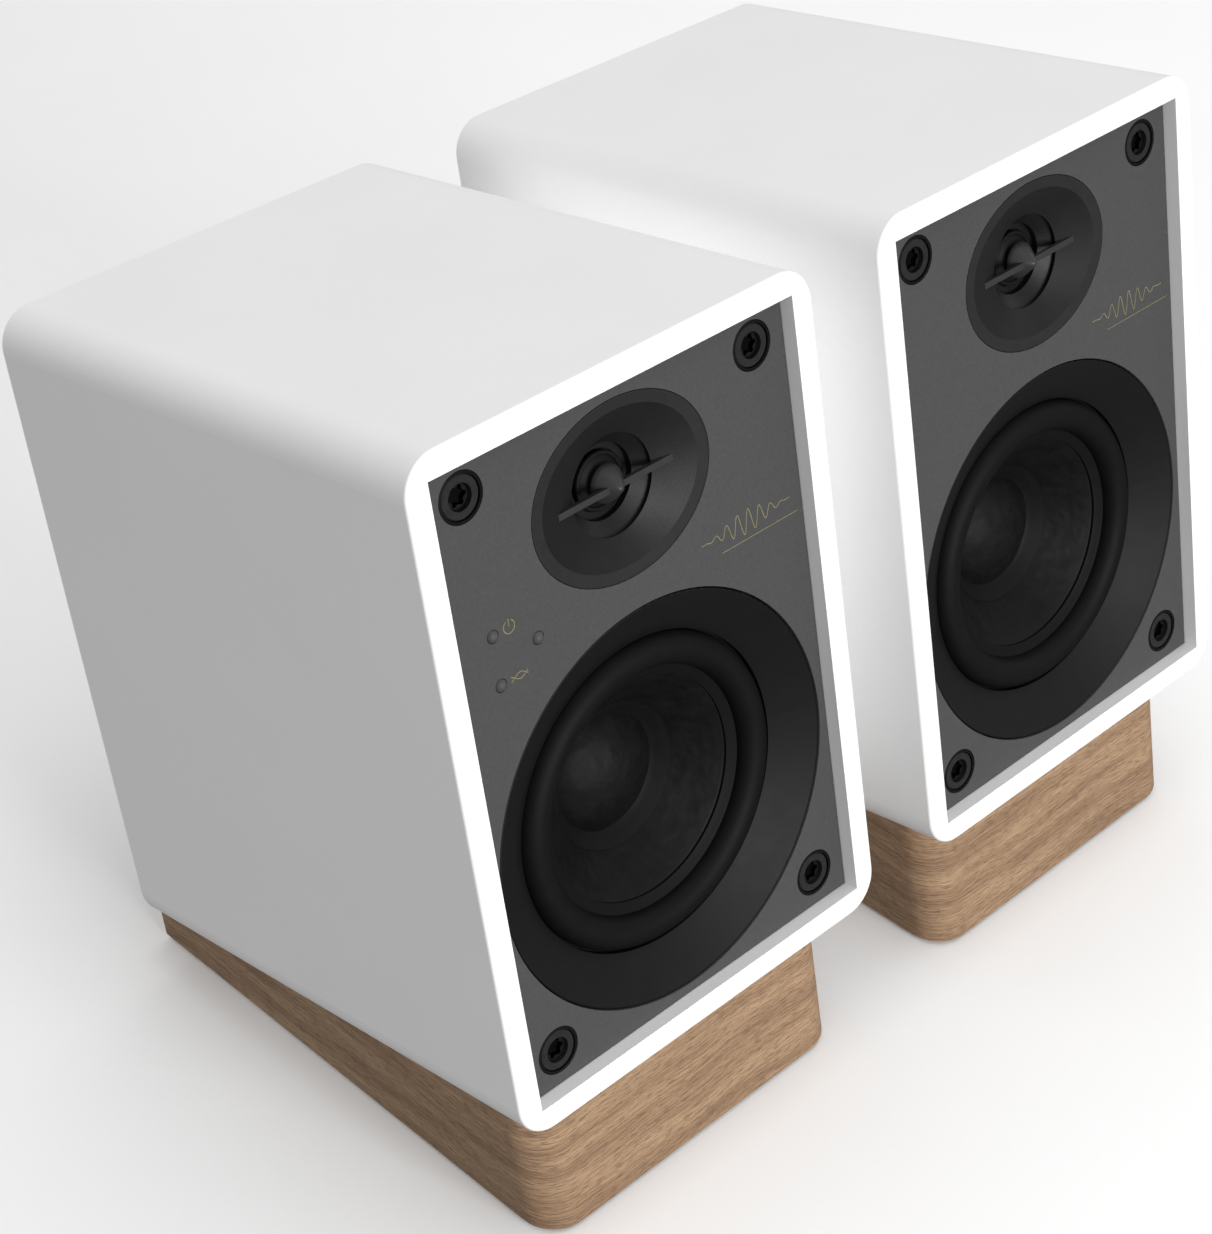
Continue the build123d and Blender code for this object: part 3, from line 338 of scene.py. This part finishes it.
GOLD = speckled("gold_print", (0.2, 0.17, 0.085), (0.34, 0.29, 0.15), 1.5, (0.4, 0.5), 0.4, 0.006,
                Metallic=0.3)


# ---------------------------------------------------------------- carried-over nodes
# Baffle screws: radius of a cup, depth of the head's face, radius and depth of the dimple in it.
CUP_R = 6.05
HEAD_D = 0.25
DIMPLE_R = 3.3
DIMPLE_D = 1.4
# Inner edge of the waveguide's flat rim, half its width and half its height.
RIM_RX = 23.7
RIM_RZ = 18.9
TOUCH = 0.02


def finish_cad_nodes():
    """Give every carried-over node the finish of its material slot, or a closer one where named."""
    for part in frame["record"]["subparts"]:
        data = NODES[part["node"]].data
        data.materials.clear()
        data.materials.append(FINISHES[part["material_slot"]])
    for side in SIDES:
        NODES[f"{side}_baffle_screw_cups"].data.materials[0] = CUP_PLASTIC
        NODES[f"{side}_tweeter_motor"].data.materials[0] = FINISHES["black_oxide"]
        paint_shade_in_screw_sockets(side)
        paint_horn_shade_rim_light(side)


def paint_horn_shade_rim_light(side):
    """Give the waveguide's horn a darker finish as painted shade, and its flat rim a paler finish as painted
    light.
    """
    own = SPEAKER[side].inverted()
    low, high = part_box(side, "tweeter_waveguide")
    z = (low.z + high.z) / 2
    data = NODES[f"{side}_tweeter_waveguide"].data
    # Painted shade on the horn; the rim outside the horn's edge gets painted light.
    data.materials[0] = HORN_PAINTED_SHADE
    data.materials.append(RIM_PAINTED_LIGHT)
    for polygon in data.polygons:
        middle = own @ polygon.center
        if math.hypot(middle.x / RIM_RX, (middle.z - z) / RIM_RZ) > 1:
            polygon.material_index = 1


def paint_shade_in_screw_sockets(side):
    """Paint shade into the dimple of each baffle screw, and deeper painted shade into its six-lobe socket."""
    own = SPEAKER[side].inverted()
    low, high = part_box(side, "baffle_screw_cups")
    columns = (low.x + CUP_R, high.x - CUP_R)
    places = [(x, z) for x in columns for z in (low.z + CUP_R, high.z - CUP_R)]
    data = NODES[f"{side}_baffle_screws"].data
    data.materials.append(DIMPLE_PAINTED_SHADE)
    data.materials.append(SOCKET_PAINTED_SHADE)
    for polygon in data.polygons:
        middle = own @ polygon.center
        near = min(math.hypot(middle.x - x, middle.z - z) for x, z in places)
        depth = middle.y - low.y
        # Painted shade: the dimple darker than the head, the socket at its bottom darker still.
        if near < DIMPLE_R and depth > HEAD_D + TOUCH:
            polygon.material_index = 2 if depth > DIMPLE_D + TOUCH else 1


# ---------------------------------------------------------------- woofer
# Radii from the woofer's axis, depths from the baffle's face.
ROLL_R = 35.65
ROLL_OUT = 4.3
ROLL_IN = 3.5
ROLL_D = 7.9
FLANGE_R = 45.0
RUBBER_T = 0.9
LIP_GAP = 0.1
LIP_STEP = 0.75
CONE_OUT_R = 31.2
CONE_LINE_R = 28.6
CONE_LINE_D = 9.7
NECK_R = 13.15
NECK_D = 23.9
CONE_T = 0.7
CONE_STEPS = 34
COLLAR = 1.6
CAP_R = 15.0
CAP_RISE = 5.5
CAP_SKIRT_R = 18.7
CAP_T = 0.5
SKIN = 0.2
SPIDER_IN_R = 12.9
SPIDER_OUT_R = 28.5
SPIDER_D = 26.65
SPIDER_WAVES = 6
SPIDER_WAVE = 0.45
SPIDER_T = 0.35
TURNS = 192


def cone_depth(radius):
    """Depth of the cone's front face at a radius."""
    return CONE_LINE_D + (CONE_LINE_R - radius) * (NECK_D - CONE_LINE_D) / (CONE_LINE_R - NECK_R)


def woofer_seat(side):
    """Matrix from the woofer's own axes, with depth 0 at the baffle's face, to the frame."""
    low, high = part_box(side, "woofer_trim_ring")
    return SPEAKER[side] @ Matrix.Translation((0, low.y, (low.z + high.z) / 2))


def flex(thing):
    """Bake a piece's placement into its mesh."""
    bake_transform(thing)


def woofer_surround(side):
    """Rubber half roll from the basket's flange to the cone's lip, with small beads at its feet."""
    in_front = ROLL_R - ROLL_OUT
    out_front = ROLL_R + ROLL_OUT
    in_back = ROLL_R - ROLL_IN
    flange_back = ROLL_D + RUBBER_T
    lip = CONE_LINE_R + LIP_GAP
    outline = arc((ROLL_R, ROLL_D), ROLL_OUT, 0, -180, 28)
    outline += divided((in_front - 0.25, ROLL_D + 0.12), (lip + 0.15, CONE_LINE_D - RUBBER_T), 4)
    outline += [(lip, CONE_LINE_D - LIP_STEP), (lip, CONE_LINE_D - 0.25)]
    outline += [(in_back - 0.4, ROLL_D + 0.62)]
    outline += arc((ROLL_R, ROLL_D), ROLL_IN, -180, 0, 18)
    outline += [(ROLL_R + ROLL_IN, flange_back), (FLANGE_R, flange_back), (FLANGE_R, ROLL_D)]
    outline += [(out_front + 0.3, ROLL_D)]
    place = woofer_seat(side)
    thing = add_piece(f"{side}_surround_roll", lathe(outline, TURNS), place, FINISHES["black_rubber"],
                      stands_for=[f"{side}_woofer_surround"])
    flex(thing)


def woofer_cone(side):
    """Pulp cone, its face pressed with shallow uneven lumps."""
    edge = CONE_LINE_D - LIP_STEP
    neck_back = NECK_D + COLLAR
    outline = [(CONE_OUT_R, edge)]
    outline += divided((CONE_LINE_R, CONE_LINE_D), (NECK_R, NECK_D), CONE_STEPS)
    outline += [(NECK_R, NECK_D), (NECK_R, neck_back), (NECK_R + CONE_T, neck_back)]
    outline += [(NECK_R + CONE_T, NECK_D + 0.4), (CONE_LINE_R + 0.2, CONE_LINE_D + 0.9)]
    outline += [(CONE_OUT_R, edge + CONE_T)]
    mesh = lathe(outline, TURNS)

    def behind_face(radius):
        """Depth just behind the cone's front face."""
        return cone_depth(radius) + SKIN

    dent(mesh, CAP_SKIRT_R - 0.8, CONE_LINE_R - 0.2, behind_face, 4.2, 0.42, 3.1)
    add_piece(f"{side}_pulp_cone", mesh, woofer_seat(side), FINISHES["cone_pulp"],
              f"{side}_woofer_mover", [f"{side}_woofer_cone"])


def woofer_dust_cap(side):
    """Domed cap with uneven dents and a smooth glue skirt round it."""
    rim = cone_depth(CAP_R) - CAP_T - 0.1
    ball = (CAP_R**2 + CAP_RISE**2) / (2 * CAP_RISE)
    crown = rim - CAP_RISE
    half = math.degrees(math.asin(CAP_R / ball))
    top = arc((0, crown + ball), ball, -90, half - 90, 26)
    skirt = cone_depth(CAP_SKIRT_R)
    outline = [(0, crown)] + top[1:]
    outline += divided((CAP_R + 0.35, rim - 0.2), (CAP_SKIRT_R, skirt - CAP_T - 0.02), 4)
    outline += [(CAP_SKIRT_R, skirt - CAP_T), (CAP_SKIRT_R + 0.35, skirt - 0.2), (CAP_R, rim + CAP_T)]
    outline += [(radius, depth + CAP_T) for radius, depth in reversed(top[1:-1])]
    outline += [(0, crown + CAP_T)]
    mesh = lathe(outline, TURNS)

    def behind_face(radius):
        """Depth just behind the cap's front face."""
        return crown + ball - math.sqrt(ball**2 - radius**2) + SKIN

    dent(mesh, -2, CAP_R, behind_face, 5.5, 0.24, 7.7)
    place = woofer_seat(side)
    thing = add_piece(f"{side}_pulp_cap", mesh, place, FINISHES["cone_pulp"],
                      f"{side}_woofer_mover", [f"{side}_woofer_dust_cap"])
    thing.data.materials.append(GLUE)
    own = place.inverted()
    for polygon in thing.data.polygons:
        middle = own @ polygon.center
        if math.hypot(middle.x, middle.z) > CAP_R + 0.2:
            polygon.material_index = 1


def woofer_spider(side):
    """Corrugated centring cloth between the coil former and the basket's shelf."""
    steps = SPIDER_WAVES * 8
    front = []
    for k in range(steps + 1):
        radius = SPIDER_IN_R + (SPIDER_OUT_R - SPIDER_IN_R) * k / steps
        wave = SPIDER_WAVE * math.cos(2 * math.pi * SPIDER_WAVES * k / steps)
        front.append((radius, SPIDER_D - 0.2 + wave))
    outline = front + [(radius, depth + SPIDER_T) for radius, depth in reversed(front)]
    place = woofer_seat(side)
    thing = add_piece(f"{side}_spider_cloth", lathe(outline, TURNS), place, FINISHES["spider_cloth"],
                      stands_for=[f"{side}_woofer_spider"])
    flex(thing)


# ---------------------------------------------------------------- tweeter
# The plug's outline as (radius, depth) from its back to its tip; the blade as (half width, depth).
PLUG_FLANK = ((4.75, 5.4), (4.7, 4.95), (4.2, 4.2), (3.5, 3.3), (2.75, 2.4), (2.0, 1.55), (1.35, 0.85))
PLUG_TIP = (0.8, 0.3)
PLUG_TIP_D = 0.0
BLADE_FRONT = (17.6, 1.9)
BLADE_FOOT = (13.6, 3.0)
BLADE_T = 1.6


def phase_plug(side):
    """Pointed plug on its blade across the horn."""
    outline = list(PLUG_FLANK) + [PLUG_TIP, (PLUG_TIP[0] * 0.5, PLUG_TIP_D + 0.07), (0, PLUG_TIP_D)]
    outline.append((0, PLUG_FLANK[0][1]))
    mesh = lathe(outline, 96)
    half = BLADE_T / 2
    section = [(-BLADE_FRONT[0], BLADE_FRONT[1]), BLADE_FRONT, BLADE_FOOT, (-BLADE_FOOT[0], BLADE_FOOT[1])]
    rows = [[mesh.verts.new((x, depth, z)) for x, depth in section] for z in (-half, half)]
    mesh.faces.new(rows[0])
    mesh.faces.new(rows[1][::-1])
    for k in range(4):
        n = (k + 1) % 4
        mesh.faces.new((rows[0][k], rows[1][k], rows[1][n], rows[0][n]))
    low, high = part_box(side, "tweeter_waveguide")
    place = SPEAKER[side] @ Matrix.Translation((0, low.y, (low.z + high.z) / 2))
    add_piece(f"{side}_plug_and_blade", mesh, place, PLUG_PLASTIC, f"{side}_speaker",
              [f"{side}_tweeter_phase_plug"])


# ---------------------------------------------------------------- stand
STAND_CORNER_R = 10.0
STAND_EDGE = 0.7
TILT = math.atan2(-BACK.z, BACK.y)
# Where each wedge is cut from the veneer, along its grain, and its flat faces, across it.
VENEER_START = {"left": 0.0, "right": 431.0}
VENEER_OVER = 300.0


def stand_outline(low, high, inset):
    """Outline of the wedge seen from above, from the back left corner round the front, with lengths."""
    r = STAND_CORNER_R - inset
    x, front, back = high.x - inset, low.y + inset, high.y - inset
    points = divided((-x, back), (-x, front + r), 30)
    points += arc((r - x, front + r), r, 180, 270, 14)
    points += divided((r - x, front), (x - r, front), 20)[1:]
    points += arc((x - r, front + r), r, -90, 0, 14)
    points += divided((x, front + r), (x, back), 30)[1:] + [(x, back)]
    return points


def wedge_stand(side):
    """Wooden wedge with softened lower edges and its grain running round the front."""
    low, high = part_box(side, "wedge_stand")
    mesh = bmesh.new()
    layer = mesh.loops.layers.uv.new("veneer")

    def floor_at(y):
        return low.z + (y - low.y) * math.tan(TILT)

    sections = [(STAND_EDGE, 0.0), (0.2, STAND_EDGE * 0.3), (0, STAND_EDGE)]
    rings, marks = [], []
    for inset, lift in sections:
        rings.append([mesh.verts.new((x, y, floor_at(y) + lift)) for x, y in stand_outline(low, high, inset)])
    edge = stand_outline(low, high, 0)
    rings.append([mesh.verts.new((x, y, high.z)) for x, y in edge])
    length = [0.0]
    for a, b in zip(edge, edge[1:]):
        length.append(length[-1] + math.dist(a, b))
    length.append(length[-1] + math.dist(edge[-1], edge[0]))
    start = VENEER_START[side]
    for ring, after in zip(rings, rings[1:]):
        for k in range(len(ring)):
            n = (k + 1) % len(ring)
            face = mesh.faces.new((ring[k], ring[n], after[n], after[k]))
            for loop, along in zip(face.loops, (length[k], length[k + 1], length[k + 1], length[k])):
                height = loop.vert.co.z + loop.vert.co.y * -math.tan(TILT)
                loop[layer].uv = ((start + along) * MM, height * MM)
    for ring in (rings[0], rings[-1]):
        face = mesh.faces.new(ring)
        for loop in face.loops:
            loop[layer].uv = ((start + loop.vert.co.y) * MM, (VENEER_OVER + loop.vert.co.x) * MM)
    add_piece(f"{side}_walnut_wedge", mesh, SPEAKER[side], FINISHES["walnut"], f"{side}_speaker",
              [f"{side}_wedge_stand"])


# ---------------------------------------------------------------- printing
PRINT_T = 0.03
THICK_LINE = 0.22
THIN_LINE = 0.18
MOTIF_L = 29.5
MOTIF_OVERLAP = 6.0
MOTIF_DROP = 2.4
MOTIF_SWELL = 3.1
MOTIF_WAVES = 8
RULE_DROP = 4.4
POWER_R = 1.6
INPUT_L = 5.0
TICKS = 11
TICK_STEP = 30
WIRE_HALF = 3.4
MARK_HALF = 0.9
MARK_LINE = 0.3


def ribbon(mesh, points, width, closed=False):
    """Flat strip of a width along points of the baffle's face, slightly proud of it."""
    count = len(points)
    rows = []
    for k, point in enumerate(points):
        before = points[(k - 1) % count if closed else max(k - 1, 0)]
        after = points[(k + 1) % count if closed else min(k + 1, count - 1)]
        heading = Vector((after[0] - before[0], after[1] - before[1])).normalized()
        side = Vector((-heading.y, heading.x)) * width / 2
        edges = [(point[0] + side.x, point[1] + side.y), (point[0] - side.x, point[1] - side.y)]
        rows.append([mesh.verts.new((x, y, z)) for y in (-PRINT_T, 0.01) for x, z in edges])
    pairs = list(zip(rows, rows[1:] + rows[:1]))
    for row, after in pairs if closed else pairs[:-1]:
        for a, b in ((0, 1), (1, 3), (3, 2), (2, 0)):
            mesh.faces.new((row[a], row[b], after[b], after[a]))
    if not closed:
        mesh.faces.new([rows[0][k] for k in (0, 2, 3, 1)])
        mesh.faces.new([rows[-1][k] for k in (0, 1, 3, 2)])


def print_on_baffle(side, name, mesh):
    """Lay a print on the front baffle of one speaker."""
    low, _ = part_box(side, "front_baffle")
    place = SPEAKER[side] @ Matrix.Translation((0, low.y, 0))
    add_piece(name, mesh, place, GOLD, f"{side}_speaker")


def print_on_back(side, name, mesh, node):
    """Lay a print on the back face of a node; its points are given as (-x, z)."""
    _, high = part_box(side, node)
    place = SPEAKER[side] @ Matrix.Translation((0, high.y, 0)) @ Matrix.Rotation(math.pi, 4, "Z")
    add_piece(name, mesh, place, PRINT_WHITE, f"{side}_speaker")


def wave_motif(side):
    """Generic ornament beside the tweeter: a short burst of a wave over a fine rule."""
    low, high = part_box(side, "tweeter_waveguide")
    start = high.x - MOTIF_OVERLAP
    z = low.z - MOTIF_DROP
    mesh = bmesh.new()
    steps = 160
    points = []
    for k in range(steps + 1):
        share = k / steps
        swell = MOTIF_SWELL * math.sin(math.pi * share) ** 2
        points.append((start + MOTIF_L * share, z + swell * math.sin(2 * math.pi * MOTIF_WAVES * share)))
    ribbon(mesh, points, THICK_LINE)
    rule = z - RULE_DROP
    ribbon(mesh, [(start + 6, rule), (start + MOTIF_L + 2, rule)], THIN_LINE)
    print_on_baffle(side, f"{side}_wave_print", mesh)


def control_icons():
    """Power and input symbols beside the two buttons."""
    mesh = bmesh.new()
    low, high = part_box("left", "power_button")
    x, z = (low.x + high.x) / 2 + 4.75, (low.z + high.z) / 2 + 0.3
    ribbon(mesh, arc((x, z), POWER_R, 118, 422, 36), THICK_LINE)
    ribbon(mesh, [(x, z + 0.1), (x, z + POWER_R + 0.4)], THICK_LINE)
    low, high = part_box("left", "mode_button")
    x, z = (low.x + high.x) / 2 + 5.4, (low.z + high.z) / 2
    for sign in (1, -1):
        points = []
        for k in range(33):
            share = k / 32
            wave = 0.8 * math.cos(math.pi * share * 1.5 + 0.6)
            points.append((x + INPUT_L * (share - 0.5), z + sign * wave))
        ribbon(mesh, points, 0.2)
    print_on_baffle("left", "control_icons", mesh)


def knob_scale():
    """Ticks round the volume knob, and a white line in the knob's own notch."""
    low, high = part_box("left", "volume_knob")
    x, z = (low.x + high.x) / 2, (low.z + high.z) / 2
    radius = (high.x - low.x) / 2
    mesh = bmesh.new()
    for k in range(TICKS):
        turn = math.radians(240 - TICK_STEP * k)
        start = radius + 1.6
        end = start + (1.8 if k % 5 == 0 else 1.1)
        ends = [(r * math.cos(turn) - x, z + r * math.sin(turn)) for r in (start, end)]
        ribbon(mesh, ends, 0.35)
    print_on_back("left", "volume_scale", mesh, "rear_panel")
    notch = bmesh.new()
    ribbon(notch, [(-x, z + 3.3), (-x, z + radius - 1.3)], 0.6)
    place = SPEAKER["left"] @ Matrix.Translation((0, high.y - 0.5, 0)) @ Matrix.Rotation(math.pi, 4, "Z")
    add_piece("volume_pointer", notch, place, PRINT_WHITE, "volume_knob")


def terminal_marks(side):
    """Plus and minus between the wire holes of the speaker terminals."""
    low, high = part_box(side, "terminal_block")
    z = high.z - 2.6
    mesh = bmesh.new()
    for x, plus in ((WIRE_HALF, True), (-WIRE_HALF, False)):
        ribbon(mesh, [(x - MARK_HALF, z), (x + MARK_HALF, z)], MARK_LINE)
        if plus:
            ribbon(mesh, [(x, z + 0.17), (x, z + MARK_HALF)], MARK_LINE)
            ribbon(mesh, [(x, z - 0.17), (x, z - MARK_HALF)], MARK_LINE)
    print_on_back(side, f"{side}_terminal_marks", mesh, "terminal_block")


def phono_rings():
    """Coloured plastic face of each phono jack, round its socket."""
    mounts = {mount["name"]: mount for mount in frame["record"]["mounts"]}
    _, high = part_box("left", "input_jacks")
    for number, finish, slot in ((1, PHONO_WHITE, "white_lacquer"), (2, PHONO_RED, "red_plastic")):
        spot = SPEAKER["left"].inverted() @ Vector(mounts[f"phono_{number}_centre"]["pos_m"])
        hole = mounts[f"phono_{number}_centre"]["dims"]["r_mm"] + 0.1
        edge = mounts[f"phono_{number}_shell"]["dims"]["r_mm"] - 0.8
        outline = [(hole, -TOUCH), (hole, 0.3), (edge - 0.2, 0.3), (edge, 0.12), (edge, -TOUCH)]
        place = SPEAKER["left"] @ Matrix.Translation((spot.x, high.y, spot.z))
        add_piece(f"phono_{number}_face", lathe(outline, 48), place, finish, "left_speaker")


# ---------------------------------------------------------------- studio
EYE = (-355.1, -417.0, 412.3)
HEADING = 45.18
PITCH = -35.26
ROLL = 0.15
LENS = 80.9
SHIFT = (-0.0509, -0.0360)


def camera():
    """Camera above the front left of the pair, looking down at it."""
    data = bpy.data.cameras.new("camera")
    data.lens = LENS
    data.shift_x, data.shift_y = SHIFT
    data.clip_start = 0.01
    data.clip_end = 20
    thing = bpy.data.objects.new("camera", data)
    heading, pitch = math.radians(HEADING), math.radians(PITCH)
    forward = Vector((math.sin(heading) * math.cos(pitch), math.cos(heading) * math.cos(pitch),
                      math.sin(pitch)))
    thing.rotation_mode = "QUATERNION"
    thing.rotation_quaternion = forward.to_track_quat("-Z", "Y") @ Quaternion((0, 0, 1), math.radians(ROLL))
    thing.location = SPEAKER["left"] @ Vector(EYE)
    bpy.context.scene.collection.objects.link(thing)
    bpy.context.scene.camera = thing


def softbox(name, place, aim, size, power):
    """Large soft light aimed at a point."""
    data = bpy.data.lights.new(name, "AREA")
    data.shape = "RECTANGLE"
    data.size, data.size_y = size
    data.energy = power
    thing = bpy.data.objects.new(name, data)
    thing.location = place
    thing.rotation_mode = "QUATERNION"
    thing.rotation_quaternion = (Vector(aim) - Vector(place)).to_track_quat("-Z", "Y")
    bpy.context.scene.collection.objects.link(thing)
    return thing


def gap_light():
    """Soft light between the two cabinets, from the left one's wall onto the right one's."""
    low, high = part_box("left", "cabinet")
    place = SPEAKER["left"] @ Vector((high.x + 1.0, low.y + 82.0, high.z - 82.0))
    light = softbox("gap_light", place, place + RIGHT, (0.13, 0.15), 0.0265)
    light.visible_camera = False


FLOOR_HALF = 9
# The surround's strength runs from SKY_LOW to SKY_HIGH as a ray's heading rises from SKY_FROM to 1.
SKY_FROM = -0.2
SKY_LOW = 0.28
SKY_HIGH = 0.77


def studio():
    """Pale floor, soft lights and a surround that is brighter above."""
    gap_light()
    softbox("front_light", (-0.15, -1.7, 0.45), (0, 0, 0.1), (0.9, 0.7), 26)
    softbox("top_light", (0.3, 0.1, 1.8), (0, 0, 0), (1.5, 1.5), 8.5)
    softbox("right_light", (1.8, -0.5, 0.9), (0, 0, 0.1), (1.0, 1.0), 4)
    world = bpy.data.worlds.new("surround")
    world.use_nodes = True
    tree = world.node_tree
    tree.nodes["Background"].inputs["Color"].default_value = (1, 1, 1, 1)
    around = add_node(tree, "TexCoord").outputs["Generated"]
    up = add_node(tree, "SeparateXYZ", {"Vector": around}).outputs["Z"]
    level = add_node(tree, "MapRange", {"Value": up, "From Min": SKY_FROM, "To Min": SKY_LOW,
                                        "To Max": SKY_HIGH})
    tree.links.new(level.outputs["Result"], tree.nodes["Background"].inputs["Strength"])
    bpy.context.scene.world = world
    bpy.context.scene.view_settings.view_transform = "Standard"
    mesh = bmesh.new()
    bmesh.ops.create_grid(mesh, x_segments=8, y_segments=8, size=FLOOR_HALF)
    data = bpy.data.meshes.new("floor")
    mesh.to_mesh(data)
    mesh.free()
    data.materials.append(speckled("floor_paper", grey(0.93), grey(0.945), 60, (0.8, 0.9), 2, 0.01))
    floor = bpy.data.objects.new("floor", data)
    bpy.context.scene.collection.objects.link(floor)
    floor.visible_diffuse = False
    floor.visible_glossy = False


finish_cad_nodes()
for side in SIDES:
    woofer_surround(side)
    woofer_cone(side)
    woofer_dust_cap(side)
    woofer_spider(side)
    phase_plug(side)
    wedge_stand(side)
    wave_motif(side)
    terminal_marks(side)
control_icons()
knob_scale()
phono_rings()
camera()
studio()
